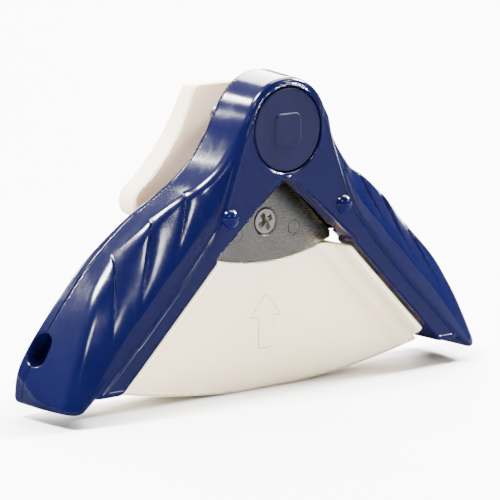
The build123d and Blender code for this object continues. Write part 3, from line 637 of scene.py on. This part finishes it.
def badge_field(x, d, z):
    """Disc set flush in the head, with a low rounded square in the middle."""
    r = np.hypot(x, z - BADGE_Z)
    face = BADGE_FACE - MARK_HEIGHT * smooth_step(0.12, -0.12, badge_mark(x, z))
    plate = keep(r - BADGE_R, np.maximum(face - d, d - BADGE_T), 0.3)
    stud = keep(r - STUD_R, np.maximum(STUD_FROM - d, d - STUD_TO), 0.3)
    return join(plate, stud)


def badge_mark(x, z):
    """Plain square with all four corners rounded."""
    beside = np.maximum(np.abs(x) - MARK_HALF, 0)
    above = np.maximum(np.abs(z - BADGE_Z) - MARK_HALF, 0)
    return np.hypot(beside, above) - MARK_CORNER


# ---------------------------------------------------------------- materials

def material(name, color, roughness, metallic=0.0):
    mat = bpy.data.materials.new(name)
    mat.use_nodes = True
    shader = mat.node_tree.nodes["Principled BSDF"]
    shader.inputs["Base Color"].default_value = (*color, 1)
    shader.inputs["Roughness"].default_value = roughness
    shader.inputs["Metallic"].default_value = metallic
    return mat, mat.node_tree, shader


def add(tree, kind, **inputs):
    node = tree.nodes.new(kind)
    for key, value in inputs.items():
        node.inputs[key.replace("_", " ")].default_value = value
    return node


def position(tree):
    """Where a point is on its own part, so that the pattern moves with the part."""
    return tree.nodes.new("ShaderNodeTexCoord").outputs["Object"]


def noise(tree, scale, detail=3.0, rough=0.5, stretch=None):
    """Noise that keeps its place on the part, drawn out where stretch is given."""
    where = position(tree)
    if stretch:
        mapping = add(tree, "ShaderNodeMapping")
        mapping.inputs["Scale"].default_value = stretch
        tree.links.new(where, mapping.inputs["Vector"])
        where = mapping.outputs["Vector"]
    node = add(tree, "ShaderNodeTexNoise", Scale=scale, Detail=detail, Roughness=rough)
    tree.links.new(where, node.inputs["Vector"])
    return node.outputs["Fac"]


def ramp(tree, factor, stops):
    """Colour ramp through (place, colour) stops."""
    node = tree.nodes.new("ShaderNodeValToRGB")
    elements = node.color_ramp.elements
    while len(elements) < len(stops):
        elements.new(0.5)
    for element, (place, color) in zip(elements, stops):
        element.position = place
        element.color = (*color, 1) if len(color) == 3 else color
    tree.links.new(factor, node.inputs["Fac"])
    return node.outputs["Color"]


def grey(value):
    return (value, value, value)


def bump(tree, shader, height, strength, distance, below=None):
    """Bump on the shader's normal, on top of another bump where below is given."""
    node = add(tree, "ShaderNodeBump", Strength=strength, Distance=distance)
    tree.links.new(height, node.inputs["Height"])
    if below is not None:
        tree.links.new(below, node.inputs["Normal"])
    tree.links.new(node.outputs["Normal"], shader.inputs["Normal"])
    return node.outputs["Normal"]


def blue_plastic(name, deep, pale, roughness, grain):
    """Glossy moulded plastic: faint colour drift, orange peel and hairline wear."""
    mat, tree, shader = material(name, deep, roughness)
    shader.inputs["IOR"].default_value = 1.42
    drift = ramp(tree, noise(tree, 90, 4), [(0.3, deep), (0.75, pale)])
    tree.links.new(drift, shader.inputs["Base Color"])
    scuffs = noise(tree, 260, 6, 0.7, (1, 1, 0.25))
    rough = ramp(tree, scuffs, [(0.45, grey(roughness)), (0.8, grey(roughness + 0.12))])
    tree.links.new(rough, shader.inputs["Roughness"])
    peel = bump(tree, shader, noise(tree, 420, 2), 0.06, 0.0002)
    bump(tree, shader, noise(tree, 5200, 3, 0.6), grain, 0.00006, peel)
    return mat


def cream_plastic():
    """Satin polypropylene that lets some warm light through, with painted shade: its base colour
    turns dark warm brown in its own corners.
    """
    mat, tree, shader = material("cream_plastic", (0.86, 0.75, 0.56), 0.42)
    shader.inputs["Subsurface Weight"].default_value = 0.35
    shader.inputs["Subsurface Radius"].default_value = (1.0, 0.62, 0.3)
    shader.inputs["Subsurface Scale"].default_value = 0.004
    shader.inputs["IOR"].default_value = 1.48
    tones = [(0.3, (0.85, 0.735, 0.545)), (0.7, (0.89, 0.795, 0.62))]
    drift = ramp(tree, noise(tree, 60, 4), tones)
    # Painted shade: occlusion by the part's own shape mixes a dark warm brown into the base colour
    # in corners and recesses.
    corners = add(tree, "ShaderNodeAmbientOcclusion", Distance=0.02)
    corners.only_local = True
    unshaded_share = ramp(tree, corners.outputs["AO"], [(0.45, grey(0)), (0.9, grey(1))])
    shade = tree.nodes.new("ShaderNodeMix")
    shade.data_type = "RGBA"
    shade.inputs["A"].default_value = (0.50, 0.38, 0.22, 1)
    tree.links.new(unshaded_share, shade.inputs["Factor"])
    tree.links.new(drift, shade.inputs["B"])
    tree.links.new(shade.outputs["Result"], shader.inputs["Base Color"])
    rough = ramp(tree, noise(tree, 300, 5, 0.7), [(0.4, grey(0.38)), (0.75, grey(0.52))])
    tree.links.new(rough, shader.inputs["Roughness"])
    grain = bump(tree, shader, noise(tree, 3800, 2), 0.1, 0.00008)
    bump(tree, shader, noise(tree, 130, 3), 0.06, 0.0005, grain)
    return mat


def steel(name, color, roughness, stretch, lines, tint=None):
    """Ground or brushed metal: fine lines along one direction, stains and soft smears."""
    mat, tree, shader = material(name, color, roughness, 1.0)
    tone = [(0.3, tuple(c * 0.82 for c in color)), (0.7, tint or color)]
    tree.links.new(ramp(tree, noise(tree, 160, 5, 0.65), tone), shader.inputs["Base Color"])
    brush = noise(tree, lines, 4, 0.6, stretch)
    rough = ramp(tree, brush, [(0.35, grey(roughness - 0.07)), (0.7, grey(roughness + 0.1))])
    tree.links.new(rough, shader.inputs["Roughness"])
    bump(tree, shader, brush, 0.12, 0.00005)
    return mat


def white_plastic():
    """Matt white moulding of the hinge bushes."""
    mat, tree, shader = material("bush_white", (0.82, 0.82, 0.79), 0.5)
    drift = ramp(tree, noise(tree, 500, 4), [(0.3, grey(0.74)), (0.7, grey(0.84))])
    tree.links.new(drift, shader.inputs["Base Color"])
    bump(tree, shader, noise(tree, 4000, 2), 0.1, 0.00005)
    return mat


def paint(obj, mat):
    """Gives every slot of an object one material."""
    obj.data.materials.clear()
    obj.data.materials.append(mat)


# ---------------------------------------------------------------- camera, light and floor

CAMERA_AT = Vector((-0.43701, -0.54720, 0.16019))
CAMERA_AZIMUTH = math.radians(38.51)
CAMERA_ELEVATION = math.radians(10.34)
CAMERA_LENS = 218.88

# A light is its name, direction from the punch, distance and size in metres, and watts.
LIGHTS_AIM = Vector((0, 0, 0.04))
STUDIO_LIGHTS = [
    ("top_left", (-0.45, 0.07, 0.88), 0.8, 0.2, 30),
    ("key", (0.85, -0.12, 0.6), 1.2, 0.28, 85),
    ("head_patch", (-0.41, 0.68, 0.61), 1.3, 0.16, 16),
    ("back", (0.5, 0.8, 0.6), 1.4, 0.8, 70),
]
GLINT_LIGHTS = [
    ("spark", (0.62, -0.69, 0.4), 1.6, 0.1, 5.0),
    ("grip_gleam", (-0.45, -0.7, 0.62), 1.6, 0.14, 6.0),
]
SKY_ENERGY = 7.0
SKY_ANGLE = math.radians(40)
SKY_TILT = (math.radians(-8), math.radians(28), 0)
CARD_HEIGHT = 0.0005


def make_camera():
    """Long lens, low and to the left of the punch."""
    data = bpy.data.cameras.new("camera")
    data.sensor_width = 36
    data.lens = CAMERA_LENS
    data.clip_start = 0.05
    data.clip_end = 30
    camera = bpy.data.objects.new("camera", data)
    ahead = Vector((
        math.sin(CAMERA_AZIMUTH) * math.cos(CAMERA_ELEVATION),
        math.cos(CAMERA_AZIMUTH) * math.cos(CAMERA_ELEVATION),
        -math.sin(CAMERA_ELEVATION),
    ))
    camera.location = CAMERA_AT
    camera.rotation_mode = "QUATERNION"
    camera.rotation_quaternion = ahead.to_track_quat("-Z", "Y")
    bpy.context.scene.collection.objects.link(camera)
    bpy.context.scene.camera = camera


def make_floor():
    """Wide white disc that the punch stands on."""
    mesh = bpy.data.meshes.new("floor")
    build = bmesh.new()
    bmesh.ops.create_circle(build, cap_ends=True, segments=96, radius=9)
    build.to_mesh(mesh)
    build.free()
    floor = bpy.data.objects.new("floor", mesh)
    bpy.context.scene.collection.objects.link(floor)
    mat, tree, shader = material("floor_paper", (0.93, 0.93, 0.93), 0.85)
    shader.inputs["Specular IOR Level"].default_value = 0.0
    drift = ramp(tree, noise(tree, 30, 3), [(0, grey(0.92)), (1, grey(0.94))])
    tree.links.new(drift, shader.inputs["Base Color"])
    floor.data.materials.append(mat)


def make_flag():
    """Dark card on the floor in front of the punch that only its reflections show."""
    mesh = bpy.data.meshes.new("flag")
    corners = [(-0.6, 0.3), (1.2, 0.3), (1.2, -1.2), (-0.6, -1.2)]
    mesh.from_pydata([(x, y, CARD_HEIGHT) for x, y in corners], [], [(0, 1, 2, 3)])
    flag = bpy.data.objects.new("flag", mesh)
    bpy.context.scene.collection.objects.link(flag)
    mat, tree, shader = material("flag_card", grey(0.02), 0.9)
    drift = ramp(tree, noise(tree, 20), [(0, grey(0.015)), (1, grey(0.03))])
    tree.links.new(drift, shader.inputs["Base Color"])
    flag.data.materials.append(mat)
    flag.visible_camera = False
    flag.visible_diffuse = False
    flag.visible_shadow = False


def area_light(name, direction, distance, size, power):
    """Square light that faces the punch."""
    data = bpy.data.lights.new(name, "AREA")
    data.shape = "RECTANGLE"
    data.size = size
    data.size_y = size
    data.energy = power
    light = bpy.data.objects.new(name, data)
    away = Vector(direction).normalized()
    light.location = LIGHTS_AIM + away * distance
    light.rotation_mode = "QUATERNION"
    light.rotation_quaternion = away.to_track_quat("Z", "Y")
    bpy.context.scene.collection.objects.link(light)


def sky_light():
    """Wide soft sun, for the even light of a white room."""
    data = bpy.data.lights.new("sky", "SUN")
    data.energy = SKY_ENERGY
    data.angle = SKY_ANGLE
    sky = bpy.data.objects.new("sky", data)
    sky.rotation_euler = SKY_TILT
    bpy.context.scene.collection.objects.link(sky)


def make_world():
    """Bright studio above and behind, darker room in front."""
    world = bpy.data.worlds.new("studio")
    bpy.context.scene.world = world
    world.use_nodes = True
    tree = world.node_tree
    tree.nodes.clear()
    where = tree.nodes.new("ShaderNodeTexCoord")
    along = tree.nodes.new("ShaderNodeVectorMath")
    along.operation = "DOT_PRODUCT"
    along.inputs[1].default_value = Vector((-0.25, 0.55, 0.8)).normalized()
    tree.links.new(where.outputs["Generated"], along.inputs[0])
    shades = [(0.45, grey(0.03)), (0.7, grey(0.16)), (0.95, grey(0.42))]
    tone = ramp(tree, along.outputs["Value"], shades)
    back = add(tree, "ShaderNodeBackground", Strength=2.4)
    tree.links.new(tone, back.inputs["Color"])
    out = tree.nodes.new("ShaderNodeOutputWorld")
    tree.links.new(back.outputs["Background"], out.inputs["Surface"])


def make_lights():
    for light in STUDIO_LIGHTS:
        area_light(*light)
    sky_light()
    for light in GLINT_LIGHTS:
        area_light(*light)


# ---------------------------------------------------------------- the punch

def finish_part(piece, body, node, mat):
    """Paints a piece, lets it ride on its body and puts it in place of a CAD node."""
    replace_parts(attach(piece, body), node)
    paint(piece, mat)


def make_housing():
    """Housing, rear cover and badge, each on a grid that reaches a little past it."""
    xs = steps(-65, 65, CELL)
    zs = steps(FOOT_Z - 1.5, BADGE_Z + 14.5, CELL)
    ds = np.concatenate([steps(-0.6, 2.4, CELL / 2), steps(2.4, 19.5, CELL)[1:]])
    housing = net_mesh("housing_shell", housing_field, xs, ds, zs)
    finish_part(housing, HOUSING, "front_housing", BLUE)
    cover = net_mesh("housing_cover", cover_field, xs, steps(10.2, 22.4, CELL), zs)
    finish_part(cover, HOUSING, "rear_cover", BLUE)
    xs = steps(-10.5, 10.5, FINE)
    zs = steps(BADGE_Z - 10.5, BADGE_Z + 10.5, FINE)
    badge = net_mesh("head_badge", badge_field, xs, steps(-0.4, 4.6, FINE / 2), zs)
    finish_part(badge, HOUSING, "badge_cap", BADGE_BLUE)


def make_moving():
    """Tray, lever, die plate and screw, on grids that are finer where the detail is thin."""
    xs = steps(-48.5, 48.5, CELL)
    ds = np.concatenate([steps(0.4, 7.9, 0.5), steps(7.9, 8.8, 0.1)[1:], steps(8.8, 21.3, 0.5)[1:]])
    tray = net_mesh("tray", tray_field, xs, ds, steps(-0.9, 51.5, CELL))
    finish_part(tray, MOVING, "paper_tray", CREAM)
    xs = steps(-31.5, 31.5, 0.45)
    lever = net_mesh("lever", lever_field, xs, steps(14.2, 27, 0.4), steps(30, 73, 0.45))
    finish_part(lever, MOVING, "squeeze_lever", CREAM)
    xs = steps(-20, 20, FINE)
    plate = net_mesh("die", die_field, xs, steps(7.4, 9.6, SCREW_CELL), steps(29.6, 51.5, FINE))
    finish_part(plate, MOVING, "die_plate", DIE_STEEL)
    xs = steps(-3.7, 3.7, SCREW_CELL)
    zs = steps(SCREW_Z - 3.7, SCREW_Z + 3.7, SCREW_CELL)
    screw = net_mesh("flush_screw", screw_field, xs, steps(7.5, 15, SCREW_CELL), zs)
    finish_part(screw, MOVING, "die_screw", BRIGHT_STEEL)


def spring_mesh(name, at_x):
    """Coil of round wire between the head's web and the lever."""
    around = np.linspace(0, 2 * math.pi, WIRE_SIDES, endpoint=False)
    turn = np.linspace(0, 2 * math.pi * SPRING_TURNS, SPRING_TURNS * 40)[:, None]
    wire_r = SPRING_WIRE_R * MM
    coil_r = (SPRING_HIGH.x - SPRING_LOW.x) / 2 - wire_r
    first = SPRING_LOW.y + wire_r
    length = SPRING_HIGH.y - wire_r - first
    reach = coil_r + wire_r * np.cos(around)
    x = at_x * MM + reach * np.cos(turn)
    z = SPRING_Z * MM + reach * np.sin(turn)
    y = first + length * turn / turn[-1] + wire_r * np.sin(around)
    rings = len(turn)
    points = np.stack(np.broadcast_arrays(x, y, z), -1).reshape(-1, 3)
    index = np.arange(rings * WIRE_SIDES).reshape(rings, WIRE_SIDES)
    beside = np.roll(index, -1, 1)
    walls = np.stack([index[:-1], index[1:], beside[1:], beside[:-1]], -1).reshape(-1, 4)
    faces = walls.tolist() + [index[0].tolist(), index[-1][::-1].tolist()]
    mesh = bpy.data.meshes.new(name)
    mesh.from_pydata(points.tolist(), [], faces)
    mesh.shade_smooth()
    spring = bpy.data.objects.new(name, mesh)
    bpy.context.scene.collection.objects.link(spring)
    return spring


def make_springs():
    """Two coils that the lever squashes against the head."""
    for hand, at_x in (("right", SPRING_X), ("left", -SPRING_X)):
        spring = spring_mesh(f"spring_{hand}", at_x)
        finish_part(spring, HOUSING, f"return_spring_{hand}", SPRING_STEEL)
        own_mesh(spring)


def paint_frame():
    """Finishes of the CAD nodes that stay."""
    finishes = {
        "dome_rivets": RIVET_BLUE,
        "cutter_plate": EDGE_STEEL,
        "dowel_pins": DIE_STEEL,
        "die_block": ZINC,
        "hinge_bush_left": WHITE,
        "hinge_bush_right": WHITE,
    }
    for name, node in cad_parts.items():
        if not node.hide_render:
            paint(node, finishes.get(name, SCREW_STEEL))


# Grid cells in millimetres.
CELL = 0.3
FINE = 0.25
SCREW_CELL = 0.1

# The blues look near black as numbers, because the lights that make the floor white are strong.
BLUE = blue_plastic("housing_blue", (0.0012, 0.0017, 0.0205), (0.0016, 0.0023, 0.0245), 0.14, 0.03)
RIVET_BLUE = blue_plastic("rivet_blue", (0.0011, 0.0016, 0.021), (0.0014, 0.0021, 0.025), 0.1, 0.02)
BADGE_BLUE = blue_plastic("badge_blue", (0.0010, 0.0016, 0.021), (0.0014, 0.0022, 0.025), 0.3, 0.35)
CREAM = cream_plastic()
DIE_STEEL = steel("die_steel", (0.40, 0.39, 0.375), 0.3, (1, 1, 14), 900)
BRIGHT_STEEL = steel("bright_steel", (0.72, 0.71, 0.69), 0.22, (1, 1, 1), 900)
EDGE_STEEL = steel("edge_steel", (0.62, 0.48, 0.22), 0.3, (1, 1, 8), 700, (0.5, 0.42, 0.28))
SCREW_STEEL = steel("screw_steel", (0.5, 0.5, 0.5), 0.3, (1, 1, 1), 800)
SPRING_STEEL = steel("spring_steel", (0.36, 0.36, 0.37), 0.3, (1, 1, 1), 1200)
ZINC = steel("cast_zinc", (0.52, 0.52, 0.53), 0.48, (1, 1, 1), 500)
WHITE = white_plastic()

make_camera()
make_floor()
make_flag()
make_world()
make_lights()
make_housing()
make_moving()
make_springs()
paint_frame()
